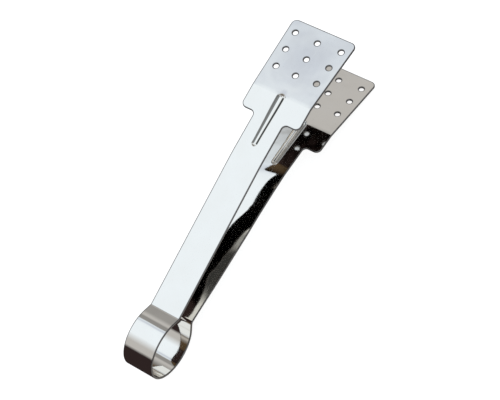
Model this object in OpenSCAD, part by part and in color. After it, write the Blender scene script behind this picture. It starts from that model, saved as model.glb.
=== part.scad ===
// Stamp tongs: one sprung strip folded into a round bow, two arms and two wide perforated blades.
// X runs from the bow to the blades, Y across the strip, Z up, with the tongs lying on a table.
// The origin is under the middle of the tongs, on the table. Millimetres.

/* [Strip] */
// Thickness of the strip
strip_t = 0.8; // [0.6:0.1:1.2]
// Width of the strip in the bow, the necks and the arms
strip_w = 11.6; // [9:0.1:14]

/* [Bow] */
// Outer radius of the round bow
bow_r = 11; // [9:0.5:14]
// Half of the bow's mouth, as an angle about its centre
mouth_a = 45.4; // [40:0.1:52]
// Length of the flat flare from the bow to the fold at each neck
flare_len = 3.6; // [2.5:0.1:5]
// Fold radius at each neck, at the middle of the strip
neck_r = 1.6; // [1.2:0.1:2.5]

/* [Arms] */
// Length of each arm from the neck fold to the start of its heel
arm_len = 56; // [48:0.5:64]
// Length of each heel, the last stretch before the blade
heel_len = 23.6; // [22:0.2:28]
// Radius of the gentle curve from arm to heel
heel_r = 60; // [30:5:80]
// Upper arm's angle out from the bow's axis
upper_arm_a = -4; // [-7:0.1:0]
// Upper heel's further turn, negative towards the lower arm
upper_heel_a = -3.9; // [-6:0.1:-2]
// Upper blade's further turn, negative towards the lower arm
upper_blade_a = -10.1; // [-13:0.1:-6]
// Lower arm's angle out from the bow's axis
lower_arm_a = 14; // [12:0.1:17]
// Lower heel's further turn, positive away from the upper arm
lower_heel_a = 8.8; // [4:0.1:9]
// Lower blade's further turn, positive away from the upper arm
lower_blade_a = 7.9; // [5:0.1:11]

/* [Ribs] */
// Outer radius of the pressed rib, about an axis in the strip's inner face
rib_r = 1.5; // [1.3:0.1:1.8]
// How far the rib runs past the blade's fold, on to the blade
rib_past = 1.2; // [-3:0.1:1.2]
// Distance from the blade's fold back to the rib's other end
rib_back = 18.8; // [14:0.2:19]

/* [Blades] */
// Length of each blade beyond its fold
blade_len = 27.8; // [24:0.2:32]
// Width of each blade at its tip
tip_w = 25; // [22:0.5:28]
// Width of each blade at its fold
fold_w = 23; // [20:0.5:26]
// Fold radius between heel and blade, at the middle of the strip
fold_r = 2; // [1.5:0.1:4]
// Distance from the fold back to the shoulders
shoulder = 8.2; // [6:0.2:10]
// Radius of the blade's corners
corner_r = 2; // [1:0.1:3]
// Radius of the hollow corners where the shoulders meet the arm
fillet_r = 1.5; // [1:0.1:2]

/* [Drain holes] */
// Diameter of each drain hole
hole_d = 2.2; // [1.8:0.1:3.6]
// Distance from the tip to the first row
row_first = 4.8; // [4:0.1:6]
// Distance from one row to the next
row_pitch = 6.9; // [6:0.1:7.2]
// Distance from the middle hole to the outer holes in the first row
column_first = 9.05; // [8:0.05:10]
// How much nearer the outer holes come in each further row
column_step = 0.52; // [0:0.02:0.8]
// How far the middle hole is set back from the outer two
middle_back = 0.45; // [0:0.05:1]

/* [Hinge] */
// Angle about the bow's centre from its axis to each flexing line
flex_a = 90; // [80:1:110]
// Gap left at each flexing line
flex_gap = 0.35; // [0.3:0.05:0.6]

/* [Hidden] */
steel = [0.80, 0.81, 0.82];
true_fn = 96;
mid_r = bow_r - strip_t / 2;
half_t = strip_t / 2;
big = 4 * bow_r;
// How far each straight runs into the fold beside it, so that the two join
lap = 0.02;
// Stretch of arm that each blade carries, to hold its hollow corners
stub_len = shoulder + fillet_r + 1;
rib_mid = (rib_back - rib_past) / 2;
rib_run = rib_back + rib_past - 2 * rib_r;
rib_in_r = rib_r - strip_t;

// A place on the middle of the strip is [x, z, heading], in the bow's own frame: its centre
// at 0, its axis along x, and the arm's outer side up. The lower arm is drawn mirrored.
function ahead(p, d) = [p[0] + d * cos(p[2]), p[1] + d * sin(p[2]), p[2]];
function folded(p, r, a) =
  let (s = a < 0 ? -1 : 1, x = p[0] - s * r * sin(p[2]), z = p[1] + s * r * cos(p[2]))
  [x + s * r * sin(p[2] + a), z - s * r * cos(p[2] + a), p[2] + a];
// Length that a fold of radius r and angle a takes from each straight beside it
function set_back(r, a) = r * tan(abs(a) / 2);

mouth_p = [mid_r * cos(mouth_a), mid_r * sin(mouth_a), mouth_a - 90];
function neck_turn(arm_a) = arm_a - mouth_p[2];
function flare_run(g) = flare_len - set_back(neck_r, neck_turn(g[0]));
function arm_run(g) =
  arm_len - set_back(neck_r, neck_turn(g[0])) - set_back(heel_r, g[1]);
function heel_run(g) = heel_len - set_back(heel_r, g[1]) - set_back(fold_r, g[2]);
// g is one arm's [arm angle, heel turn, blade turn]
upper_g = [upper_arm_a, upper_heel_a, upper_blade_a];
lower_g = [lower_arm_a, lower_heel_a, lower_blade_a];
function neck_p(g) = ahead(mouth_p, flare_run(g));
function arm_p(g) = folded(neck_p(g), neck_r, neck_turn(g[0]));
function bend_p(g) = ahead(arm_p(g), arm_run(g));
function heel_p(g) = folded(bend_p(g), heel_r, g[1]);
function fold_p(g) = ahead(heel_p(g), heel_run(g));
function blade_p(g) = folded(fold_p(g), fold_r, g[2]);
// Where the two straights would meet if the fold were sharp, and the tip beyond it
function apex_p(g) = ahead(fold_p(g), set_back(fold_r, g[2]));
function tip_p(g) = ahead(blade_p(g), blade_len - set_back(fold_r, g[2]));

// The tilt that brings the bow and the lower blade's tip to the table together
low = tip_p(lower_g);
low_x = low[0] - half_t * sin(low[2]);
low_z = low[1] + half_t * cos(low[2]);
tilt = atan2(low_z, low_x) - asin(bow_r / norm([low_x, low_z]));
function table_x(p, side) = p[0] * cos(tilt) - side * p[1] * sin(tilt);
function reach(g, side) =
  let (p = tip_p(g), h = half_t * [-sin(p[2]), cos(p[2])])
  max(table_x([p[0] + h[0], p[1] + h[1]], side), table_x([p[0] - h[0], p[1] - h[1]], side));
middle_x = (max(reach(upper_g, 1), reach(lower_g, -1)) - bow_r) / 2;

// Puts a shape drawn in the bow's frame on the table; side is 1 for the upper arm, -1 for the lower
module placed(side) {
  translate([-middle_x, 0, bow_r])
    rotate([0, -tilt, 0])
      if (side > 0) children();
      else mirror([0, 0, 1]) children();
}

// Draws flat children at a place on the strip, x ahead and z outwards
module at(p) {
  translate([p[0], 0, p[1]]) rotate([0, -p[2], 0]) children();
}

// The same for an outline in the strip's profile
module profile_at(p) {
  translate([p[0], p[1]]) rotate(p[2]) children();
}

// Turns a profile into a strip of width w across Y
module across(w) {
  rotate([90, 0, 0]) linear_extrude(height = w, center = true) children();
}

module sector(a0, a1) {
  steps = 8;
  polygon(concat([[0, 0]], [for (i = [0:steps])
    let (a = a0 + (a1 - a0) * i / steps) big * [cos(a), sin(a)]]));
}

// Outline of the bow from angle a0 to angle a1
module bow_arc(a0, a1) {
  intersection() {
    difference() {
      circle(r = bow_r, $fn = true_fn);
      circle(r = bow_r - strip_t, $fn = true_fn);
    }
    sector(a0, a1);
  }
}

// Outline of a fold of mid radius r and angle a that starts at 0 along +x
module fold_arc(r, a) {
  s = a < 0 ? -1 : 1;
  translate([0, s * r])
    intersection() {
      difference() {
        circle(r = r + half_t, $fn = true_fn);
        circle(r = r - half_t, $fn = true_fn);
      }
      sector_of_fold(s, a);
    }
}

module sector_of_fold(s, a) {
  reach_r = 3 * heel_r;
  polygon([[0, 0], [0, -s * reach_r], reach_r * [s * sin(a / 2), -s * cos(a / 2)],
    reach_r * [s * sin(a), -s * cos(a)]]);
}

// Profile of a flat strip from 0 along +x for length d, with a lap at each end that joins a fold
module run(d, lap_0 = 0, lap_1 = 0) {
  translate([-lap_0, -half_t]) square([d + lap_0 + lap_1, strip_t]);
}

// Round-ended bar about an axis in the heel's inner face, seen from the blade's fold
module rib_bar(g, r) {
  at(apex_p(g))
    translate([-rib_mid, 0, -half_t]) {
      rotate([0, 90, 0]) cylinder(r = r, h = rib_run, center = true, $fn = true_fn);
      for (x = [-rib_run / 2, rib_run / 2])
        translate([x, 0, 0]) sphere(r = r, $fn = true_fn);
    }
}

module bow_side() {
  across(strip_w) {
    bow_arc(mouth_a, flex_a);
    rotate(flex_a) translate([mid_r, 0]) circle(r = half_t, $fn = true_fn);
  }
}

module neck(g) {
  across(strip_w) {
    profile_at(mouth_p) run(flare_run(g), 0, lap);
    profile_at(neck_p(g)) fold_arc(neck_r, neck_turn(g[0]));
  }
}

module arm(g) {
  difference() {
    across(strip_w) {
      profile_at(arm_p(g)) run(arm_run(g), 0, lap);
      profile_at(bend_p(g)) fold_arc(heel_r, g[1]);
      profile_at(heel_p(g)) run(heel_run(g) + set_back(fold_r, g[2]) - stub_len, lap, 0);
    }
    rib_bar(g, rib_r);
  }
}

module rib(g) {
  intersection() {
    difference() {
      rib_bar(g, rib_r);
      rib_bar(g, rib_in_r);
    }
    at(apex_p(g))
      translate([-rib_mid, 0, rib_r - half_t])
        cube([2 * rib_back, strip_w, 2 * rib_r], center = true);
  }
}

// Outline of the heel's end with its shoulders, seen from the fold: rounded outside, hollow inside
module shoulders() {
  w = fold_w / 2;
  neck_w = strip_w / 2;
  union() {
    translate([-stub_len, -neck_w]) square([stub_len, strip_w]);
    translate([-shoulder + corner_r, -w]) square([shoulder - corner_r, fold_w]);
    translate([-shoulder, -w + corner_r]) square([shoulder, fold_w - 2 * corner_r]);
    for (s = [-1, 1]) {
      translate([-shoulder + corner_r, s * (w - corner_r)]) circle(r = corner_r, $fn = true_fn);
      difference() {
        translate([-shoulder - fillet_r, s > 0 ? neck_w : -neck_w - fillet_r])
          square([fillet_r, fillet_r]);
        translate([-shoulder - fillet_r, s * (neck_w + fillet_r)])
          circle(r = fillet_r, $fn = true_fn);
      }
    }
  }
}

// Outline of the blade from its fold to its tip
module blade_outline(d) {
  side_a = atan2((tip_w - fold_w) / 2, blade_len);
  c = corner_r * tan(45 + side_a / 2);
  edge = (tip_w - fold_w) / 2 / blade_len;
  difference() {
    polygon([[-lap, -fold_w / 2], [d, -tip_w / 2], [d, tip_w / 2], [-lap, fold_w / 2]]);
    for (s = [-1, 1])
      difference() {
        translate([d - c, s > 0 ? tip_w / 2 - c - edge * c : -tip_w / 2 - c])
          square([2 * c, 2 * c + edge * c]);
        translate([d - corner_r, s * (tip_w / 2 - c)]) circle(r = corner_r, $fn = true_fn);
        translate([d - 2 * corner_r, s > 0 ? 0 : -tip_w / 2])
          square([corner_r, tip_w / 2]);
      }
  }
}

module drain_holes(d) {
  for (row = [0:2], column = [-1:1])
    translate([d - row_first - row * row_pitch - (column == 0 ? middle_back : 0),
        column * (column_first - row * column_step), 0])
      cylinder(d = hole_d, h = 4 * strip_t, center = true, $fn = true_fn);
}

module blade(g) {
  d = blade_len - set_back(fold_r, g[2]);
  difference() {
    union() {
      at(fold_p(g))
        translate([0, 0, -half_t])
          linear_extrude(height = strip_t)
            translate([set_back(fold_r, g[2]), 0]) intersection() {
              shoulders();
              translate([lap - 2 * stub_len - set_back(fold_r, g[2]), -fold_w])
                square([2 * stub_len, 2 * fold_w]);
            }
      at(fold_p(g)) across(fold_w) fold_arc(fold_r, g[2]);
      at(blade_p(g))
        translate([0, 0, -half_t]) linear_extrude(height = strip_t) blade_outline(d);
    }
    rib_bar(g, rib_r);
    at(blade_p(g)) drain_holes(d);
  }
}

// The back half of the round bow, which both arms flex from
module bow_back() {
  color(steel)
    placed(1)
      across(strip_w)
        difference() {
          bow_arc(flex_a, 360 - flex_a);
          for (s = [-1, 1])
            rotate(s * flex_a) translate([mid_r, 0])
              circle(r = half_t + flex_gap, $fn = true_fn);
        }
}

module upper_bow_side() { color(steel) placed(1) bow_side(); }
module upper_neck() { color(steel) placed(1) neck(upper_g); }
module upper_arm() { color(steel) placed(1) arm(upper_g); }
module upper_rib() { color(steel) placed(1) rib(upper_g); }
module upper_blade() { color(steel) placed(1) blade(upper_g); }
module lower_bow_side() { color(steel) placed(-1) bow_side(); }
module lower_neck() { color(steel) placed(-1) neck(lower_g); }
module lower_arm() { color(steel) placed(-1) arm(lower_g); }
module lower_rib() { color(steel) placed(-1) rib(lower_g); }
module lower_blade() { color(steel) placed(-1) blade(lower_g); }

bow_back();
upper_bow_side();
upper_neck();
upper_arm();
upper_rib();
upper_blade();
lower_bow_side();
lower_neck();
lower_arm();
lower_rib();
lower_blade();
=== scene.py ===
import math

import bpy
import numpy as np
from mathutils import Matrix, Vector
from mathutils.geometry import delaunay_2d_cdt

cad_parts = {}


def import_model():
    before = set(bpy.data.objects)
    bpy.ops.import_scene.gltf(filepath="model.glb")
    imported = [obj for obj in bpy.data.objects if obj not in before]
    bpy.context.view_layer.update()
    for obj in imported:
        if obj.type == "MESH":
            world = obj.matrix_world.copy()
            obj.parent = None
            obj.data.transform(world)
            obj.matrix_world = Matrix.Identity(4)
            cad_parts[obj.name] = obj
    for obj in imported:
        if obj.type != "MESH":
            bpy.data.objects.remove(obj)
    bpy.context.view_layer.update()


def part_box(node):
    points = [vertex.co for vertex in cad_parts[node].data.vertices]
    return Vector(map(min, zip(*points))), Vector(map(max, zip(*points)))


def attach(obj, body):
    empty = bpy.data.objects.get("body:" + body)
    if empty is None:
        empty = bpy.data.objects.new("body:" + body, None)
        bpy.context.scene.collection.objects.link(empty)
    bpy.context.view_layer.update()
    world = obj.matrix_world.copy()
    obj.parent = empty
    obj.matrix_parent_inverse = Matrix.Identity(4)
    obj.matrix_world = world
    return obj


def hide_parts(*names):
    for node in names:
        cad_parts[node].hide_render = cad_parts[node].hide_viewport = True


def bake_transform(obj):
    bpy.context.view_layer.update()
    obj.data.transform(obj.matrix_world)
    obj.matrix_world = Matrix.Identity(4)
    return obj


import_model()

# ---------------------------------------------------------------- sizes, in millimetres
MM = 0.001
STRIP_T = 0.8            # thickness of the strip
STRIP_W = 11.6           # its width in the bow and the arms
BOW_R = 11.0             # outer radius of the bow
MOUTH_A = 45.4           # half of the bow's mouth, degrees
FLARE_LEN = 3.6          # flat flare from the bow to the neck's fold
NECK_R = 1.6             # fold radius at the neck
ARM_LEN = 56.0           # neck's fold to the start of the heel
HEEL_LEN = 23.6          # heel, to the blade's fold
HEEL_R = 60.0            # gentle curve from arm to heel
FOLD_R = 2.0             # fold radius from heel to blade
UPPER_TURNS = (-4.0, -3.9, -10.1)   # arm's angle, heel's turn, blade's turn, degrees
LOWER_TURNS = (14.0, 8.8, 7.9)
BLADE_LEN = 27.8         # blade's fold to its tip
TIP_W = 25.0             # blade's width at the tip
FOLD_W = 23.0            # and at the fold
SHOULDER = 8.2           # from the fold back to the shoulders
CORNER_R = 2.0           # rounded corners of the head
FILLET_R = 1.5           # hollow corners at the shoulders
HOLE_R = 0.92            # clear radius of the drain holes
HOLE_STEP_A = 9          # degrees from one point of a hole's rim to the next
ROW_FIRST, ROW_PITCH = 4.8, 6.9     # tip to the first row of holes, and row to row
COLUMN_FIRST, COLUMN_STEP = 9.05, 0.52    # middle hole to the outer two, and how much less in each row
MIDDLE_BACK = 0.45       # how far the middle hole is set back from the outer two
RIB_NEAR, RIB_FAR = -1.0, 19.3      # ends of the pressed rib, back from the fold
RIB_END_R = 1.5                     # how far its end stands off the end of its axis
RIB_CROWN_R, RIB_FOOT_R = 1.7, 0.9  # outer crown and outer foot of the rib
RIB_H = 0.7                         # how far it stands up
EDGE_R = 0.28                       # deburred edges of the strip
RIM_R = 0.28                        # rolled rims of the punched holes
CROWN = 0.13                        # how far the middle of each blade bulges outward
DULL_SHADE_W = 0.12                       # margin of the faces beside edges and holes, over which their duller finish and painted shade fade out
LATTICE = 1.5                       # pitch of the loose points that even out the head's triangles
RIB_CLEAR = 1.9                     # the arm's rows of points stop this far from the rib's axis
TWIST = {1: 0.0, -1: 4.0}           # roll of each arm about its own length, degrees
ROLL_SHARES = (0.0, 1.0, 1.0, 0.3, 0.5, 0.0)   # shares of that roll at the places below
ROLL_AFTER_NECK = (1, 17)           # places along the arm, from the neck's end
ROLL_AT_BEND = (-18, -8, 3, 9)      # and from the start of the curve into the heel
SEAM_A = 70.0                       # the bow piece runs this far each side of the rear, degrees
LOOPS = (0.1, 0.21, 0.33, 0.45, 0.58, 0.71, 0.84, 0.97, 1.1, 1.23, 1.36, 1.49, 1.62, 1.75)  # round the rib

HALF_T = STRIP_T / 2
MID_R = BOW_R - HALF_T
HALF_W = STRIP_W / 2
SEAM_S = MID_R * math.radians(SEAM_A)
FOLD_ROWS = np.linspace(0, 1, 7)    # rows of points across the blade's fold, as shares of it


# ---------------------------------------------------------------- the strip's middle line
class Line:
    """The middle of one half of the strip, from the bow's rear to the tip, in the bow's own frame."""

    STEP = 0.02
    SOFT = 0.12          # how far each bend runs out into the straight beside it

    def __init__(self, turns):
        arm_a, heel_a, blade_a = turns
        neck_turn = arm_a - (MOUTH_A - 90)
        back = lambda r, a: r * math.tan(math.radians(abs(a)) / 2)
        self.fold_back = back(FOLD_R, blade_a)
        legs = [  # length, turn in degrees
            (MID_R * math.radians(180 - MOUTH_A), MOUTH_A - 180),
            (FLARE_LEN - back(NECK_R, neck_turn), 0),
            (NECK_R * math.radians(abs(neck_turn)), neck_turn),
            (ARM_LEN - back(NECK_R, neck_turn) - back(HEEL_R, heel_a), 0),
            (HEEL_R * math.radians(abs(heel_a)), heel_a),
            (HEEL_LEN - back(HEEL_R, heel_a) - self.fold_back, 0),
            (FOLD_R * math.radians(abs(blade_a)), blade_a),
            (BLADE_LEN - self.fold_back, 0),
        ]
        ends = np.cumsum([0] + [leg[0] for leg in legs])
        self.mouth, self.neck, self.arm, self.bend, self.heel, self.fold, self.blade, self.tip = ends[1:]
        turned = math.pi / 2 + np.radians(np.cumsum([0] + [leg[1] for leg in legs]))
        s = np.arange(0, self.tip + self.STEP, self.STEP)
        n = int(4 * self.SOFT / self.STEP)
        kernel = np.exp(-0.5 * (np.arange(-n, n + 1) * self.STEP / self.SOFT) ** 2)
        heading = np.interp(s, ends, turned)
        first, last = heading[1] - heading[0], heading[-1] - heading[-2]
        padded = np.concatenate([heading[0] + first * np.arange(-n, 0), heading,
                                 heading[-1] + last * np.arange(1, n + 1)])
        heading = np.convolve(padded, kernel / kernel.sum(), "valid")
        cx, cz = np.cos(heading), np.sin(heading)
        self.s, self.heading = s, heading
        self.x = -MID_R + np.concatenate([[0], np.cumsum((cx[1:] + cx[:-1]) / 2 * self.STEP)])
        self.z = np.concatenate([[0], np.cumsum((cz[1:] + cz[:-1]) / 2 * self.STEP)])

    def at(self, s):
        return (np.interp(s, self.s, self.x), np.interp(s, self.s, self.z),
                np.interp(s, self.s, self.heading))

    def from_fold(self, u):
        """Place along the strip of a point u from the blade's fold, towards the tip where positive."""
        u = np.asarray(u, float)
        b = self.fold_back
        inside = self.fold + (u + b) / (2 * b) * (self.blade - self.fold)
        return np.where(u < -b, self.fold + u + b, np.where(u > b, self.blade + u - b, inside))


class Table:
    """Turns places in the bow's frame into the shared frame, in metres. The bow's box gives its centre."""

    def __init__(self, lower_line):
        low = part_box("bow_back")[0]
        self.cx, self.cz = low.x / MM + BOW_R, low.z / MM + BOW_R
        x, z, a = lower_line.at(lower_line.tip)
        lx, lz = x - HALF_T * math.sin(a), z + HALF_T * math.cos(a)
        self.tilt = math.atan2(lz, lx) - math.asin(BOW_R / math.hypot(lx, lz))

    def turn(self, x, z, side):
        c, s = math.cos(self.tilt), math.sin(self.tilt)
        return x * c - side * z * s, x * s + side * z * c

    def point(self, x, y, z, side):
        px, pz = self.turn(x, z, side)
        return np.stack([px + self.cx, y, pz + self.cz], -1) * MM

    def vector(self, x, y, z, side):
        vx, vz = self.turn(x, z, side)
        v = np.stack([vx, y, vz], -1)
        return v / np.linalg.norm(v, axis=-1, keepdims=True)


UPPER, LOWER = Line(UPPER_TURNS), Line(LOWER_TURNS)
TABLE = Table(LOWER)


# ---------------------------------------------------------------- the pressed rib
def rib_profile(d, crown, foot):
    """Height of the rib at distance d from its crest: a round crown that runs into a hollow foot."""
    turn = math.acos(1 - RIB_H / (crown + foot))
    knee, width = crown * math.sin(turn), (crown + foot) * math.sin(turn)
    top = RIB_H - crown + np.sqrt(np.maximum(crown**2 - np.minimum(d, knee) ** 2, 0))
    run = foot - np.sqrt(np.maximum(foot**2 - np.clip(width - d, 0, width - knee) ** 2, 0))
    return np.where(d < knee, top, np.where(d < width, run, 0))


class Rib:
    LOW = 0.8            # the arm's end of the rib has this share of its full height
    NARROW = 0.7         # and this share of its full width

    def __init__(self, line):
        self.a = float(line.from_fold(-RIB_FAR + RIB_END_R))
        self.b = float(line.from_fold(-RIB_NEAR - RIB_END_R))

    def height(self, s, y, crown, foot):
        t = np.clip((s - self.a) / (self.b - self.a), 0, 1)
        t = t * t * (3 - 2 * t)
        f = self.LOW + (1 - self.LOW) * t
        d = np.hypot(s - np.clip(s, self.a, self.b), y) / (self.NARROW + (1 - self.NARROW) * t)
        return f * rib_profile(d, crown, foot)

    def outer(self, s, y):
        return self.height(s, y, RIB_CROWN_R, RIB_FOOT_R)

    def inner(self, s, y):
        return self.height(s, y, RIB_CROWN_R - STRIP_T, RIB_FOOT_R + STRIP_T)

    def loops(self):
        """Closed loops round the rib, for its mesh to follow."""
        out = []
        for d in LOOPS:
            side = np.linspace(self.a, self.b, 34)
            arc = np.linspace(-90, 90, 15)[1:-1]
            far = np.stack([self.b + d * np.cos(np.radians(arc)), d * np.sin(np.radians(arc))], 1)
            near = np.stack([self.a - d * np.cos(np.radians(arc)), -d * np.sin(np.radians(arc))], 1)
            out.append(np.concatenate([
                np.stack([side, np.full_like(side, -d)], 1), far,
                np.stack([side[::-1], np.full_like(side, d)], 1), near]))
        return out

    def crest(self):
        side = np.linspace(self.a, self.b, 34)
        return np.stack([side, np.zeros_like(side)], 1)


def smooth(t):
    """A soft step from 0 to 1."""
    t = np.clip(t, 0, 1)
    return t * t * (3 - 2 * t)


class Form:
    """How far the strip stands off its plain bent line, outward: blades are crowned and arms rolled."""

    def __init__(self, line, side):
        self.line = line
        self.roll = side * math.tan(math.radians(TWIST[side]))
        self.places = [line.arm + p for p in ROLL_AFTER_NECK] + [line.bend + p for p in ROLL_AT_BEND]

    def lift(self, s, y):
        line = self.line
        share = sum((b - a) * smooth((s - p) / (q - p)) for p, q, a, b in
                    zip(self.places, self.places[1:], ROLL_SHARES, ROLL_SHARES[1:]))
        k = np.clip((s - line.blade) / (line.tip - line.blade), 0, 1)
        return self.roll * share * y + CROWN * 4 * k * (1 - k) * (1 - (2 * y / TIP_W) ** 2)

    def slopes(self, s, y, d=1e-3):
        return ((self.lift(s + d, y) - self.lift(s - d, y)) / (2 * d),
                (self.lift(s, y + d) - self.lift(s, y - d)) / (2 * d))


# ---------------------------------------------------------------- outlines of the flat strip
def arc_points(cx, cy, r, a0, a1, n, hollow=False):
    """Points round a corner with their directions out of the strip."""
    out = []
    for a in np.radians(np.linspace(a0, a1, n + 1)):
        c, s = math.cos(a), math.sin(a)
        k = -1 if hollow else 1
        out.append((cx + r * c, cy + r * s, k * c, k * s))
    return out


def arm_end(line):
    """Where the rows of points across the arm stop, just before the shoulders' hollow corners."""
    return line.from_fold(-SHOULDER - FILLET_R) - 0.3


def head_outline(line, stations):
    """The strip's edge from the seam along +Y, round the head and back: s, y and the way out, in s and y."""
    u_edge = (TIP_W - FOLD_W) / 2 / BLADE_LEN
    norm = math.hypot(1, u_edge)
    uc = BLADE_LEN - CORNER_R
    yc = FOLD_W / 2 + u_edge * uc - CORNER_R * norm
    side_a = math.degrees(math.atan(u_edge))
    half = [(s, HALF_W, 0, 1) for s in stations if s < arm_end(line)]
    corner = arc_points(-SHOULDER - FILLET_R, HALF_W + FILLET_R, FILLET_R, -90, 0, 10, hollow=True)
    corner += [(-SHOULDER, y, -1, 0)
               for y in np.linspace(HALF_W + FILLET_R, FOLD_W / 2 - CORNER_R, 4)[1:-1]]
    corner += arc_points(-SHOULDER + CORNER_R, FOLD_W / 2 - CORNER_R, CORNER_R, 180, 90, 12)
    corner += [(u, FOLD_W / 2, 0, 1) for u in (-4.6, -3, -1.5, -0.6)]
    half += [(float(line.from_fold(u)), y, mu, my) for u, y, mu, my in corner]
    b = line.fold_back
    half += [(line.fold + k * (line.blade - line.fold), FOLD_W / 2, 0, 1) for k in FOLD_ROWS]
    straight = [(u, FOLD_W / 2 + u_edge * u, -u_edge / norm, 1 / norm)
                for u in np.concatenate([[b + 0.5], np.linspace(b + 1.5, uc - 1, 16)])]
    tip = arc_points(uc, yc, CORNER_R, 90 + side_a, 0, 14)
    half += [(float(line.from_fold(u)), y, mu, my) for u, y, mu, my in straight + tip]
    half += [(line.tip, y, 1, 0) for y in np.linspace(yc, 0, 8)[1:-1]]
    half = np.array(half)
    other = half[::-1] * [1, -1, 1, -1]
    return np.concatenate([half, [[line.tip, 0, 1, 0]], other])


def hole_centres(line):
    """The nine drain holes, as places (s, y) on the strip."""
    out = []
    for row in range(3):
        for column in (-1, 0, 1):
            u = BLADE_LEN - ROW_FIRST - row * ROW_PITCH - (MIDDLE_BACK if column == 0 else 0)
            out.append((float(line.from_fold(u)), column * (COLUMN_FIRST - row * COLUMN_STEP)))
    return out


def round_turn(n=4):
    """Angles from the outer face over an edge to the inner face, in degrees, with their two corners."""
    quarter = np.linspace(90, 0, n + 1)
    return [(a, 1) for a in quarter] + [(-a, -1) for a in quarter[::-1]]


def cell_lines(line):
    """Places along the strip where its mesh gets a row of points."""
    bow = np.linspace(SEAM_S, line.mouth, 34)
    s = [bow, np.linspace(line.mouth, line.neck, 6)[1:], np.linspace(line.neck, line.arm, 17)[1:],
         line.neck + np.array([-0.35, -0.2, -0.1]), line.arm + np.array([0.1, 0.2, 0.35, 0.7, 1.5]),
         line.mouth + np.array([-0.2, -0.1, 0.1, 0.2]),
         np.linspace(line.arm + 3, line.bend, 22), np.linspace(line.bend, line.heel, 14)[1:],
         np.linspace(line.heel, line.from_fold(-SHOULDER - FILLET_R), 14)[1:]]
    return np.unique(np.round(np.concatenate(s), 4))


# ---------------------------------------------------------------- meshes
class Skin:
    """Collects points with their normals, then makes the mesh of one piece."""

    def __init__(self, line, side):
        self.line, self.side = line, side
        self.form = Form(line, side)
        self.co, self.no, self.uv, self.rim = [], [], [], []
        self.faces, self.count = [], 0

    def add(self, s, y, q, n_s, n_y, n_q, rim=0.0):
        """Points at place s, across y and q out from the middle, with normals the same three ways."""
        s, y, q = (np.asarray(v, float) for v in (s, y, q))
        ls, ly = self.form.slopes(s, y)
        n_s, n_y, n_q = n_s - n_q * ls, n_y - n_q * ly, n_q + n_s * ls + n_y * ly
        q = q + self.form.lift(s, y)
        x, z, a = self.line.at(s)
        sn, cs = np.sin(a), np.cos(a)
        self.co.append(TABLE.point(x - q * sn, y, z + q * cs, self.side))
        self.no.append(TABLE.vector(n_s * cs - n_q * sn, n_y, n_s * sn + n_q * cs, self.side))
        self.uv.append(np.stack([self.side * s * MM, y * MM], -1))
        self.rim.append(np.broadcast_to(rim, s.shape).astype(float))
        first = self.count
        self.count += len(s)
        return np.arange(first, self.count)

    def strip(self, a, b, closed=False):
        """Quads between two rows of points."""
        n = len(a)
        for i in range(n if closed else n - 1):
            j = (i + 1) % n
            self.faces.append((a[i], a[j], b[j], b[i]))

    def make(self, name, caps=()):
        co, no = np.concatenate(self.co), np.concatenate(self.no)
        uv, rim = np.concatenate(self.uv), np.concatenate(self.rim)
        faces = [tuple(int(i) for i in f) for f in self.faces]
        cap_from = len(faces)
        faces += [tuple(int(i) for i in c) for c in caps]
        if self.side < 0:
            faces = [f[::-1] for f in faces]
        mesh = bpy.data.meshes.new(name)
        mesh.from_pydata(co.tolist(), [], faces)
        mesh.update()
        flat = [p.normal.copy() for p in mesh.polygons]
        mesh.polygons.foreach_set("use_smooth", [True] * len(faces))
        corner_vertex = np.zeros(len(mesh.loops), int)
        mesh.loops.foreach_get("vertex_index", corner_vertex)
        layer = mesh.uv_layers.new(name="strip")
        layer.data.foreach_set("uv", uv[corner_vertex].astype(np.float32).ravel())
        mark = mesh.attributes.new("rim", "FLOAT", "POINT")
        mark.data.foreach_set("value", rim.astype(np.float32))
        normals = no[corner_vertex]
        for p in list(mesh.polygons)[cap_from:]:
            for i in p.loop_indices:
                normals[i] = flat[p.index]
        mesh.normals_split_custom_set([tuple(n) for n in normals])
        mesh.validate(verbose=False, clean_customdata=False)
        obj = bpy.data.objects.new(name, mesh)
        bpy.context.scene.collection.objects.link(obj)
        return obj


def over_edge(skin, outline, radius, closed, top, bottom):
    """The rounded edge from the outer face's row of points to the inner face's."""
    s, y, ms, my = outline.T
    rows = [top]
    for a, up in round_turn()[1:-1]:
        c, n = math.cos(math.radians(a)), math.sin(math.radians(a))
        inset = radius * (1 - c)
        q = up * (HALF_T - radius) + radius * n
        rows.append(skin.add(s - ms * inset, y - my * inset, np.full_like(s, q),
                             c * ms, c * my, n, rim=1.0))
    rows.append(bottom)
    for a, b in zip(rows[:-1], rows[1:]):
        skin.strip(a, b, closed)
    return rows


def round_hole():
    """Angles round a hole."""
    return np.radians(np.arange(0, 360, HOLE_STEP_A))


def circle(s, y, r):
    a = round_hole()
    return np.stack([s + r * np.cos(a), y + r * np.sin(a)], 1)


def lattice(line, outline, holes, rib):
    """Loose points that keep the head's triangles even."""
    out = []
    s0, s1 = float(line.from_fold(-SHOULDER)), line.tip
    for i in range(int((s1 - s0) / LATTICE)):
        s = s0 + 0.7 + i * LATTICE
        for j in range(-9, 10):
            y = (j + 0.5 * (i % 2)) * LATTICE
            gap = np.hypot(outline[:, 0] - s, outline[:, 1] - y).min()
            off_rib = math.hypot(s - min(max(s, rib.a), rib.b), y)
            off_holes = min(math.hypot(s - hs, y - hy) for hs, hy in holes)
            inside = abs(y) < FOLD_W / 2 - 0.9 and s0 + 0.8 < s < s1 - 0.8
            off_fold = min(abs(s - line.fold), abs(s - line.blade))
            clear = gap > 0.9 and off_rib > 2.1 and off_holes > HOLE_R + 0.95 and off_fold > 0.5
            if inside and clear:
                out.append((s, y))
    return np.array(out)


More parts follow.
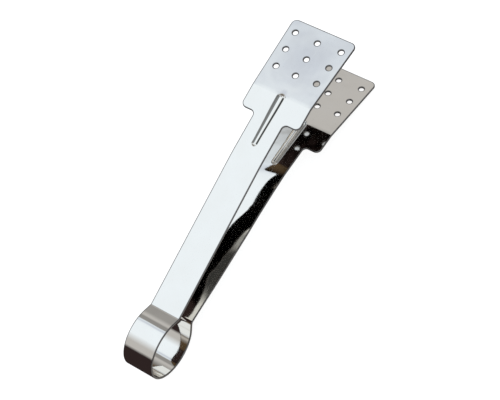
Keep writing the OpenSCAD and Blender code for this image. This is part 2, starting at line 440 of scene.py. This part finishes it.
def plan(line, outline, holes, rib, stations):
    """Triangles of the flat strip inside its edges, with its points: one plan serves both faces."""
    points, edges = [], []

    def put(rows, closed=False, joined=True):
        first = len(points)
        points.extend([tuple(r) for r in rows])
        n = len(rows)
        if joined:
            edges.extend((first + i, first + (i + 1) % n) for i in range(n if closed else n - 1))
        return list(range(first, first + n))

    ring = put(outline[:, :2] - outline[:, 2:] * EDGE_R)
    edges.append((ring[-1], ring[0]))
    put(outline[:, :2] - outline[:, 2:] * (EDGE_R + DULL_SHADE_W))
    rims = []
    for hs, hy in holes:
        rims.append(put(circle(hs, hy, HOLE_R + RIM_R), True))
        put(circle(hs, hy, HOLE_R + RIM_R + DULL_SHADE_W), True)
    for loop in rib.loops():
        put(loop, True)
    put(rib.crest())
    reach = HALF_W - EDGE_R
    clear = (rib.a - RIB_CLEAR, rib.b + RIB_CLEAR)
    for s in stations[1:]:
        if s < arm_end(line):
            ys = np.concatenate([[-reach], np.linspace(DULL_SHADE_W - reach, reach - DULL_SHADE_W, 7), [reach]])
            if clear[0] < s < clear[1]:
                for part in (ys[ys < -RIB_CLEAR], ys[ys > RIB_CLEAR]):
                    put(np.stack([np.full_like(part, s), part], 1))
            else:
                put(np.stack([np.full_like(ys, s), ys], 1))
    ys = np.linspace(-FOLD_W / 2 + EDGE_R, FOLD_W / 2 - EDGE_R, 15)
    for k in FOLD_ROWS:
        put(np.stack([np.full_like(ys, line.fold + k * (line.blade - line.fold)), ys], 1))
    put(lattice(line, outline, holes, rib), joined=False)
    made, _, faces, origin, _, _ = delaunay_2d_cdt([Vector(p) for p in points], edges, [], 1, 1e-5)
    where = {}
    for new, olds in enumerate(origin):
        for old in olds:
            where[old] = new
    flat = np.array([[v.x, v.y] for v in made])
    keep = []
    for f in faces:
        far = [max(math.hypot(flat[i][0] - hs, flat[i][1] - hy) for i in f) for hs, hy in holes]
        if min(far) > HOLE_R + RIM_R + 1e-3:
            a, b, d = flat[list(f)]
            turn = (b[0] - a[0]) * (d[1] - a[1]) - (b[1] - a[1]) * (d[0] - a[0])
            keep.append(tuple(f) if turn > 0 else tuple(f)[::-1])
    return flat, keep, [where[i] for i in ring], [[where[i] for i in r] for r in rims]


def face_points(skin, flat, height, up, dull_and_shade):
    """One face of the strip: the plan's points lifted by the rib, with exact normals."""
    s, y = flat.T
    d = 1e-4
    h = height(s, y)
    hs = (height(s + d, y) - height(s - d, y)) / (2 * d)
    hy = (height(s, y + d) - height(s, y - d)) / (2 * d)
    return skin.add(s, y, up * HALF_T + h, -up * hs, -up * hy, np.full_like(s, float(up)), rim=dull_and_shade)


def arm_piece(name, line, side):
    """One side of the tongs, from the seam in the bow to the blade's tip, as a closed mesh."""
    skin = Skin(line, side)
    stations = cell_lines(line)
    outline = head_outline(line, stations)
    holes, rib = hole_centres(line), Rib(line)
    flat, tris, ring, rims = plan(line, outline, holes, rib, stations)
    # Rim mark: 1 where the faces meet the edges and hole rims. It sets their duller finish and their painted
    # shade.
    dull_and_shade = np.zeros(len(flat))
    dull_and_shade[ring + [i for rim in rims for i in rim]] = 1.0
    top = face_points(skin, flat, rib.outer, 1, dull_and_shade)
    low = face_points(skin, flat, rib.inner, -1, dull_and_shade)
    for f in tris:
        skin.faces.append(tuple(top[list(f)]))
        skin.faces.append(tuple(low[list(f)][::-1]))
    rows = over_edge(skin, outline, EDGE_R, False, top[ring], low[ring])
    a = round_hole()
    for (hs, hy), rim in zip(holes, rims):
        hole = np.stack([hs + HOLE_R * np.cos(a), hy + HOLE_R * np.sin(a), -np.cos(a), -np.sin(a)], 1)
        over_edge(skin, hole, RIM_R, True, top[rim], low[rim])
    seam = [i for i in np.argsort(flat[:, 1]) if flat[i, 0] < SEAM_S + 1e-3]
    left = [r[0] for r in rows]
    right = [r[-1] for r in rows]
    cap = [top[i] for i in seam] + left[1:-1] + [low[i] for i in seam[::-1]] + right[1:-1][::-1]
    return skin.make(name, caps=[cap])


def bow_piece(name):
    """The back of the bow, as a closed mesh swept round it."""
    skin = Skin(UPPER, 1)
    a = np.radians(np.linspace(180 + SEAM_A, 180 - SEAM_A, 71))
    reach = HALF_W - EDGE_R
    across = np.concatenate([[-reach], np.linspace(DULL_SHADE_W - reach, reach - DULL_SHADE_W, 7), [reach]])
    # The last value is the rim mark: duller finish and painted shade on the strip's edges.
    ring = [(y, HALF_T, 0, 1, float(abs(y) == reach)) for y in across]
    ring += [(HALF_W - EDGE_R * (1 - math.cos(t)), up * (HALF_T - EDGE_R) + EDGE_R * math.sin(t),
              math.cos(t), math.sin(t), 1)
             for t, up in [(math.radians(d), u) for d, u in round_turn()[1:-1]]]
    ring += [(y, -HALF_T, 0, -1, float(abs(y) == reach)) for y in across[::-1]]
    ring += [(-y, q, -ny, nq, 1) for y, q, ny, nq, r in ring[len(across):-len(across)][::-1]]
    rows = []
    for y, q, ny, nq, r in ring:
        c, s = np.cos(a), np.sin(a)
        skin.co.append(TABLE.point((MID_R + q) * c, np.full_like(a, y), (MID_R + q) * s, 1))
        skin.no.append(TABLE.vector(nq * c, np.full_like(a, float(ny)), nq * s, 1))
        skin.uv.append(np.stack([(math.pi - a) * MID_R * MM, np.full_like(a, y * MM)], -1))
        skin.rim.append(np.full(len(a), float(r)))
        rows.append(np.arange(skin.count, skin.count + len(a)))
        skin.count += len(a)
    for i, row in enumerate(rows):
        skin.strip(row, rows[(i + 1) % len(rows)])
    return skin.make(name, caps=[[r[0] for r in rows], [r[-1] for r in rows][::-1]])


# ---------------------------------------------------------------- material
class Nodes:
    """Short ways to add and join shader nodes."""

    def __init__(self, tree):
        self.tree = tree

    def add(self, kind, **values):
        node = self.tree.nodes.new(kind)
        for key, value in values.items():
            if hasattr(node, key):
                setattr(node, key, value)
            else:
                node.inputs[key.replace("_", " ").title()].default_value = value
        return node

    def join(self, a, out, b, into):
        self.tree.links.new(a.outputs[out], b.inputs[into])
        return b


STEEL_DIM = (0.85, 0.81, 0.75)
STEEL_BRIGHT = (0.90, 0.87, 0.82)
STEEL_EDGE_SHADE = (0.17, 0.16, 0.155)      # painted shade on the sheared edges and punched rims, far darker than the faces; partly their real duller cut steel
WAVE = 0.000024                      # height of the slow waves in the rolled strip, metres
GRAIN = 0.0000015                    # and of its fine roll marks
# Patterns in the steel: scale along and across the strip, size, detail, roughness
BRUSH = ((60, 9000, 1), 1.0, 4, 0.6)         # fine polishing lines along the strip
ROLLED = ((3600, 50, 1), 1.0, 3, 0.55)       # roll marks across it
SCRATCH = ((30, 2600, 1), 1.0, 2, 0.4)       # a few longer scratches
CLOUD = ((1, 1, 1), 150, 3, 0.5)             # haze and slight changes of tone
SLOW = ((1, 1, 1), 210, 1, 0.4)              # waves
# What each does to the roughness: from low to high of the pattern, least and most added
BRUSH_ROUGH = (0.3, 0.7, 0.02, 0.055)
HAZE_ROUGH = (0.4, 0.75, 0.0, 0.03)
SCRATCH_ROUGH = (0.64, 0.74, 0.0, 0.08)
EDGE_ROUGH = (0.2, 1.0, 0.0, 0.2)
EDGE_SHADE_FADE = (0.15, 0.8, 0.0, 1.0)            # and how the edges' painted shade comes in


def steel(name):
    """Polished spring steel: waves, polishing lines, roll marks, scratches, haze, duller edges, and painted
    shade darkening its edges and hole rims.
    """
    mat = bpy.data.materials.new(name)
    mat.use_nodes = True
    tree = mat.node_tree
    shader = tree.nodes["Principled BSDF"]
    shader.inputs["Metallic"].default_value = 1.0
    n = Nodes(tree)
    uv = n.add("ShaderNodeUVMap", uv_map="strip")

    def noise(scale, size, detail, rough):
        m = n.add("ShaderNodeMapping")
        m.inputs["Scale"].default_value = scale
        n.join(uv, "UV", m, "Vector")
        t = n.add("ShaderNodeTexNoise")
        t.inputs["Scale"].default_value = size
        t.inputs["Detail"].default_value = detail
        t.inputs["Roughness"].default_value = rough
        n.join(m, "Vector", t, "Vector")
        return t

    def ramp(source, out, stops):
        r = n.add("ShaderNodeMapRange")
        r.inputs["From Min"].default_value, r.inputs["From Max"].default_value = stops[:2]
        r.inputs["To Min"].default_value, r.inputs["To Max"].default_value = stops[2:]
        n.join(source, out, r, "Value")
        return r

    def add(a, out_a, b, out_b):
        m = n.add("ShaderNodeMath", operation="ADD")
        n.join(a, out_a, m, 0)
        n.join(b, out_b, m, 1)
        return m

    brush, rolled, scratch = noise(*BRUSH), noise(*ROLLED), noise(*SCRATCH)
    cloud, wave = noise(*CLOUD), noise(*SLOW)
    edge = n.add("ShaderNodeAttribute", attribute_name="rim")

    polish = add(ramp(brush, "Fac", BRUSH_ROUGH), "Result", ramp(cloud, "Fac", HAZE_ROUGH), "Result")
    wear = add(ramp(scratch, "Fac", SCRATCH_ROUGH), "Result", ramp(edge, "Fac", EDGE_ROUGH), "Result")
    n.join(add(polish, "Value", wear, "Value"), "Value", shader, "Roughness")

    steel_tone = n.add("ShaderNodeMix", data_type="RGBA")
    n.join(cloud, "Fac", steel_tone, "Factor")
    steel_tone.inputs["A"].default_value = (*STEEL_DIM, 1)
    steel_tone.inputs["B"].default_value = (*STEEL_BRIGHT, 1)
    # Painted shade: the rim mark turns the edges and hole rims to a near-black steel tone. This is partly
    # their real duller cut steel.
    edge_shade = n.add("ShaderNodeMix", data_type="RGBA")
    n.join(ramp(edge, "Fac", EDGE_SHADE_FADE), "Result", edge_shade, "Factor")
    tree.links.new(steel_tone.outputs["Result"], edge_shade.inputs["A"])
    edge_shade.inputs["B"].default_value = (*STEEL_EDGE_SHADE, 1)
    tree.links.new(edge_shade.outputs["Result"], shader.inputs["Base Color"])

    last = None
    for source, strength, distance in ((wave, 1.0, WAVE), (rolled, 0.35, GRAIN), (brush, 0.3, GRAIN)):
        bump = n.add("ShaderNodeBump")
        bump.inputs["Strength"].default_value = strength
        bump.inputs["Distance"].default_value = distance
        n.join(source, "Fac", bump, "Height")
        if last:
            n.join(last, "Normal", bump, "Normal")
        last = bump
    n.join(last, "Normal", shader, "Normal")
    return mat


# ---------------------------------------------------------------- the stage
FLOOR_HALF = 6.0          # half of the floor's side, metres
FLOOR_TONE = (0.3, 0.3, 0.3, 1)
FLOOR_GLOW = 0.86         # a pale table lit from inside, so that shadows on it stay faint
LENS, SENSOR = 108, 36    # a long lens, mm
# The camera's place, and its right and up, which set its viewing angle
CAM_AT = (-0.11884, -0.20348, 0.45407)
CAM_RIGHT = (0.524708, -0.819371, -0.230894)
CAM_UP = (0.81577, 0.406449, 0.411482)
KEY_FROM = (0.1, 0.2, 1)  # the one lamp, a soft sun from above
KEY_POWER, KEY_SPREAD = 1.0, 1.2    # its strength, and its width in radians


def floor():
    mesh = bpy.data.meshes.new("floor")
    f = FLOOR_HALF
    mesh.from_pydata([(-f, -f, 0), (f, -f, 0), (f, f, 0), (-f, f, 0)], [], [(0, 1, 2, 3)])
    obj = bpy.data.objects.new("floor", mesh)
    bpy.context.scene.collection.objects.link(obj)
    mat = bpy.data.materials.new("floor_paper")
    mat.use_nodes = True
    b = mat.node_tree.nodes["Principled BSDF"]
    b.inputs["Base Color"].default_value = FLOOR_TONE
    b.inputs["Emission Color"].default_value = (1, 1, 1, 1)
    b.inputs["Emission Strength"].default_value = FLOOR_GLOW
    b.inputs["Roughness"].default_value = 0.9
    b.inputs["Specular IOR Level"].default_value = 0.0
    mesh.materials.append(mat)
    obj.visible_glossy = False


def camera():
    data = bpy.data.cameras.new("camera")
    data.sensor_width, data.lens = SENSOR, LENS
    data.clip_start, data.clip_end = 0.01, 50
    obj = bpy.data.objects.new("camera", data)
    bpy.context.scene.collection.objects.link(obj)
    right, up = Vector(CAM_RIGHT), Vector(CAM_UP)
    m = Matrix((right, up, right.cross(up))).transposed().to_4x4()
    m.translation = Vector(CAM_AT)
    obj.matrix_world = m
    bpy.context.scene.camera = obj


def key_lamp():
    """Gives the tongs their faint shadow. The metal doesn't reflect it."""
    data = bpy.data.lights.new("key", "SUN")
    data.energy, data.angle = KEY_POWER, KEY_SPREAD
    obj = bpy.data.objects.new("key", data)
    bpy.context.scene.collection.objects.link(obj)
    obj.location = KEY_FROM
    obj.rotation_euler = Vector(KEY_FROM).to_track_quat("Z", "Y").to_euler()
    obj.visible_glossy = False


# The studio's tones: an unlit room, the floor's warm bounce, walls and one large soft box
DARK = (0.03, 0.02, 0.02)
BOUNCE = (0.10, 0.07, 0.04)
SHADE = (0.30, 0.30, 0.30)
WALL = (0.55, 0.55, 0.55)
BOX_EDGE = (0.85, 0.95, 1.05)
BOX = (0.95, 1.05, 1.15)
SKY = (  # angle round the Y axis from +X, degrees, and what hangs there
    (-180, DARK), (-55, DARK), (-45, BOUNCE), (0, BOUNCE), (20, SHADE), (35, WALL), (40, WALL), (45, SHADE),
    (57, SHADE), (58, BOX_EDGE), (75, BOX), (115, BOX), (140, WALL), (160, WALL), (170, DARK), (180, DARK),
)
# The same towards both ends of the studio: a bright tent, a thin dark skirting and a pale floor.
ROOM = (
    (-180, (0.10, 0.10, 0.10)), (-174, (0.50, 0.49, 0.47)), (-90, (0.62, 0.60, 0.57)),
    (-6, (0.50, 0.49, 0.47)), (0, (0.08, 0.08, 0.08)), (6, (0.14, 0.14, 0.14)),
    (24, (0.62, 0.66, 0.70)), (50, (0.92, 0.99, 1.06)), (90, (0.96, 1.05, 1.12)),
    (128, (0.84, 0.92, 0.98)), (152, (0.52, 0.56, 0.59)), (172, (0.20, 0.20, 0.20)),
    (180, (0.10, 0.10, 0.10)),
)
# The lights differ along Y, -1 at the near end to 1 at the far end. The middle's own light comes in
# between the first two places and goes out between the last two.
MIDDLE_IN, MIDDLE_OUT = (0.0, 0.14), (0.5, 0.62)
UNDER = (0.37, 0.40)         # below the table's level it only comes in here
BELOW = (-0.15, -0.05)       # heights over which below turns to above
# A dark gap between the tent's boxes, across X at both ends
GAP_AT = 0.24
GAP_X = (0.18, 0.32)         # how it fades out away from that place
GAP_Y = (0.42, 0.62)         # how it fades in towards either end
GAP_END = (-0.95, -0.88)     # and out again at the near end
GAP_ENDS = (-0.2, 0.2)       # where its near end's light turns into its far end's
GAP_LIGHT = (0.07, 0.25)     # light left in it at each
CARDS = (  # soft-edged cards hung in the light: direction, size at the middle and at the edge, tone
    ((0.4, 0.4, 0.8), (0.0, 0.1), (0.7, 0.7, 0.75)),
    ((0.5, 0.1, 0.9), (0.1, 0.2), (0.05, 0.05, 0.05)),
)


def world():
    """The studio that the metal reflects. The camera itself sees plain white behind the floor."""
    w = bpy.data.worlds.new("studio")
    bpy.context.scene.world = w
    w.use_nodes = True
    n = Nodes(w.node_tree)
    link = w.node_tree.links.new

    def mix(kind, factor, a, b):
        m = n.add("ShaderNodeMix", data_type="RGBA", blend_type=kind)
        for socket, value in (("Factor", factor), ("A", a), ("B", b)):
            if isinstance(value, bpy.types.NodeSocket):
                link(value, m.inputs[socket])
            else:
                m.inputs[socket].default_value = value
        return m.outputs["Result"]

    def fade(source, values):
        m = n.add("ShaderNodeMapRange", interpolation_type="SMOOTHSTEP")
        for key, value in zip(("From Min", "From Max", "To Min", "To Max"), values):
            m.inputs[key].default_value = value
        link(source, m.inputs["Value"])
        return m.outputs["Result"]

    def op(operation, a, b):
        m = n.add("ShaderNodeMath", operation=operation)
        for i, value in enumerate((a, b)):
            if isinstance(value, bpy.types.NodeSocket):
                link(value, m.inputs[i])
            else:
                m.inputs[i].default_value = value
        return m.outputs["Value"]

    def ramp(stops):
        r = n.add("ShaderNodeValToRGB")
        n.join(share, "Result", r, "Fac")
        els = r.color_ramp.elements
        while len(els) > 1:
            els.remove(els[0])
        for i, (deg, tone) in enumerate(stops):
            e = els[0] if i == 0 else els.new((deg + 180) / 360)
            e.position, e.color = (deg + 180) / 360, (*tone, 1)
        return r.outputs["Color"]

    co = n.add("ShaderNodeTexCoord")
    xyz = n.add("ShaderNodeSeparateXYZ")
    n.join(co, "Generated", xyz, "Vector")
    x, y, z = (xyz.outputs[axis] for axis in "XYZ")
    share = n.add("ShaderNodeMapRange")
    share.inputs["From Min"].default_value, share.inputs["From Max"].default_value = -math.pi, math.pi
    link(op("ARCTAN2", z, x), share.inputs["Value"])

    reach = op("MAXIMUM", fade(z, (*BELOW, 0.0, 1.0)), fade(y, (*UNDER, 0.0, 1.0)))
    first = mix("MULTIPLY", 1.0, ramp(SKY), reach)

    off_gap = op("ABSOLUTE", op("SUBTRACT", x, GAP_AT), 0.0)
    gap = fade(off_gap, (*GAP_X, 0.0, 1.0))
    for light in (fade(op("ABSOLUTE", y, 0.0), (*GAP_Y, 1.0, 0.0)), fade(y, (*GAP_ENDS, *GAP_LIGHT)),
                  fade(y, (*GAP_END, 1.0, 0.0)), fade(z, (*BELOW, 1.0, 0.0))):
        gap = op("MAXIMUM", gap, light)
    second = mix("MULTIPLY", 1.0, ramp(ROOM), gap)

    middle = op("MULTIPLY", fade(y, (*MIDDLE_IN, 0.0, 1.0)), fade(y, (*MIDDLE_OUT, 1.0, 0.0)))
    lit = mix("MIX", middle, second, first)
    for towards, size, tone in CARDS:
        off = n.add("ShaderNodeVectorMath", operation="DISTANCE")
        n.join(co, "Generated", off, 0)
        off.inputs[1].default_value = towards
        lit = mix("MULTIPLY", fade(off.outputs["Value"], (*size, 1.0, 0.0)), lit, (*tone, 1))
    path = n.add("ShaderNodeLightPath")
    seen = mix("MIX", path.outputs["Is Camera Ray"], lit, (1, 1, 1, 1))
    link(seen, w.node_tree.nodes["Background"].inputs["Color"])


# ---------------------------------------------------------------- putting it together
def hang(obj, side):
    """Makes one side's piece stand for its CAD zones, which it hides, and bakes its place into its mesh."""
    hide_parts(*[side + "_" + p for p in ("bow_side", "neck", "arm", "rib", "blade")])
    x0, z0, _ = UPPER.at(SEAM_S)
    x1, z1, _ = UPPER.at(UPPER.mouth)
    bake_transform(obj)


def main():
    bpy.context.scene.view_settings.view_transform = "Standard"
    mat = steel("polished_steel")
    bow = bow_piece("bow_strip")
    upper = arm_piece("upper_strip", UPPER, 1)
    lower = arm_piece("lower_strip", LOWER, -1)
    for obj in (bow, upper, lower):
        obj.data.materials.append(mat)
    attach(bow, "bow")
    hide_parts("bow_back")
    hang(upper, "upper")
    hang(lower, "lower")
    floor()
    key_lamp()
    world()
    camera()


main()
